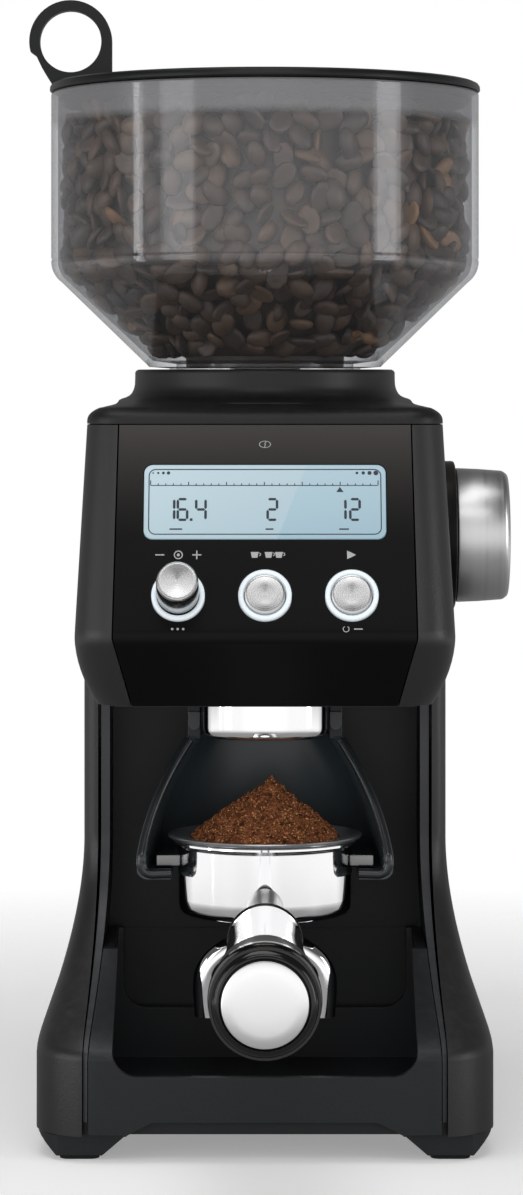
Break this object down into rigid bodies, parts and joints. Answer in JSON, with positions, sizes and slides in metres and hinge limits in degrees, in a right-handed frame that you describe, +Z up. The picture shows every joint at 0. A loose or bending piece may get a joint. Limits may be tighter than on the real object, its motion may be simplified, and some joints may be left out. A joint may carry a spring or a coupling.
{
  "type": "burr coffee grinder",
  "caption": "Upright burr coffee grinder with a smoky bean hopper, sloping control panel, side grind dial, filter holder docked in a fork and a slide-out grounds tray.",
  "frame": {"origin": "on the worktop under the middle of the whole outline, with the filter holder docked", "axes": "+Z up, front of the grinder towards -Y, grind dial on +X; the burr and hopper axis is at x = 0, y = 57.5 mm"},
  "size_m": [0.1683, 0.3374, 0.3871],
  "materials": {
    "black_shell": "fine matt moulded texture",
    "panel_black": "satin black facia",
    "base_grey": "matt dark grey moulding",
    "trim_grey": "satin mid grey",
    "bay_black": "matt black",
    "cradle_black": "satin glass-filled nylon",
    "rubber": "matt rubber",
    "smoke": "smoke-tinted clear plastic, polished",
    "lid_black": "polished black plastic",
    "bean": "roasted coffee beans",
    "grounds": "ground coffee",
    "chrome": "polished chrome",
    "brushed": "spun satin aluminium",
    "steel": "machined steel",
    "nylon": "natural acetal",
    "light": "white light guide",
    "display": "clear lens over a pale blue liquid crystal display",
    "board": "green circuit board",
    "grip": "satin black moulded grip"
  },
  "bodies": {
    "casing": {"base_chassis": "base_grey", "foot_pad_front_left": "rubber", "foot_pad_front_right": "rubber", "foot_pad_rear_left": "rubber", "foot_pad_rear_right": "rubber", "left_side_shell": "black_shell", "right_side_shell": "black_shell", "rear_cover": "black_shell", "front_panel": "panel_black", "top_cover": "black_shell", "bay_liner": "bay_black", "display_lens": "display", "display_module": "board", "control_board": "board", "power_board": "board", "motor_can": "steel", "gearbox_tray": "bay_black", "idler_pin": "steel", "lower_bearing": "steel", "upper_bearing": "steel", "burr_housing": "bay_black", "grind_chute": "cradle_black", "outlet_shroud": "chrome", "dial_bezel": "panel_black", "amount_light_ring": "light", "shots_light_ring": "light", "start_light_ring": "light", "knob_encoder": "bay_black", "start_microswitch": "bay_black", "cord_gland": "rubber"},
    "rotor": {"motor_rotor": "steel"},
    "idler": {"idler_gear": "nylon"},
    "burr_drive": {"drive_gear": "nylon", "drive_shaft": "steel", "lower_burr": "steel"},
    "crown_ring": {"adjusting_ring": "nylon", "upper_burr": "steel", "upper_burr_carrier": "steel"},
    "dial": {"grind_dial": "brushed", "dial_shaft": "steel"},
    "amount_stem": {"knob_shaft": "steel"},
    "amount_dial": {"amount_knob": "brushed"},
    "shots_key": {"shots_button": "brushed"},
    "start_key": {"start_button": "brushed"},
    "plunger": {"start_plunger": "trim_grey"},
    "fork": {"cradle": "cradle_black"},
    "filter_holder": {"portafilter_head": "chrome", "filter_basket": "steel", "ground_coffee": "grounds", "double_spout": "chrome", "handle_grip": "grip", "handle_end_cap": "brushed"},
    "tray": {"grinds_tray": "base_grey"},
    "bean_hopper": {"hopper": "smoke", "bean_fill": "bean"},
    "hopper_lock": {"hopper_gate": "nylon", "hopper_lock_knob": "lid_black"},
    "hopper_lid": {"lid": "lid_black", "lid_seal": "rubber"}
  },
  "joints": [
    {"name": "lid_lift", "type": "slide", "parent": "bean_hopper", "child": "hopper_lid", "axis": [0, 0, 1], "range_m": [0, 0.06]},
    {"name": "hopper_lift", "type": "slide", "parent": "casing", "child": "bean_hopper", "axis": [0, 0, 1], "range_m": [0, 0.08]},
    {"name": "hopper_lock_turn", "type": "hinge", "parent": "bean_hopper", "child": "hopper_lock", "pos_m": [0, 0.0575, 0.255], "axis": [0, 0, 1], "range_deg": [0, 90]},
    {"name": "grind_dial_turn", "type": "hinge", "parent": "casing", "child": "dial", "pos_m": [0.07, 0.0575, 0.1994], "axis": [1, 0, 0], "range_deg": [-180, 180]},
    {"name": "crown_ring_turn", "type": "hinge", "parent": "casing", "child": "crown_ring", "pos_m": [0, 0.0575, 0.2], "axis": [0, 0, 1], "range_deg": [-31, 31]},
    {"name": "motor_spin", "type": "hinge", "parent": "casing", "child": "rotor", "pos_m": [0, 0.1165, 0.14], "axis": [0, 0, 1], "continuous": true},
    {"name": "idler_spin", "type": "hinge", "parent": "casing", "child": "idler", "pos_m": [0, 0.0925, 0.16], "axis": [0, 0, 1], "continuous": true},
    {"name": "burr_spin", "type": "hinge", "parent": "casing", "child": "burr_drive", "pos_m": [0, 0.0575, 0.2], "axis": [0, 0, 1], "continuous": true},
    {"name": "amount_push", "type": "slide", "parent": "casing", "child": "amount_stem", "axis": [0, 0.9371, -0.3491], "range_m": [0, 0.0012], "stiffness_N_per_m": 600, "springref_m": -0.0006},
    {"name": "amount_turn", "type": "hinge", "parent": "amount_stem", "child": "amount_dial", "pos_m": [-0.0286, -0.03476, 0.18585], "axis": [0, -0.9371, 0.3491], "continuous": true},
    {"name": "shots_push", "type": "slide", "parent": "casing", "child": "shots_key", "axis": [0, 0.9371, -0.3491], "range_m": [0, 0.0008], "stiffness_N_per_m": 500, "springref_m": -0.0005},
    {"name": "start_push", "type": "slide", "parent": "casing", "child": "start_key", "axis": [0, 0.9371, -0.3491], "range_m": [0, 0.0008], "stiffness_N_per_m": 500, "springref_m": -0.0005},
    {"name": "plunger_push", "type": "slide", "parent": "casing", "child": "plunger", "axis": [0, 1, 0], "range_m": [0, 0.003], "stiffness_N_per_m": 300, "springref_m": -0.001},
    {"name": "cradle_slide", "type": "slide", "parent": "casing", "child": "fork", "axis": [0, -1, 0], "range_m": [0, 0.07]},
    {"name": "filter_holder_slide", "type": "slide", "parent": "fork", "child": "filter_holder", "axis": [0, -1, 0], "range_m": [0, 0.09]},
    {"name": "tray_slide", "type": "slide", "parent": "casing", "child": "tray", "axis": [0, -1, 0], "range_m": [0, 0.115]}
  ],
  "couplings": [
    {"joint": "crown_ring_turn", "follows": "grind_dial_turn", "ratio": -0.16667},
    {"joint": "idler_spin", "follows": "motor_spin", "ratio": -0.33333},
    {"joint": "burr_spin", "follows": "motor_spin", "ratio": 0.11111}
  ]
}
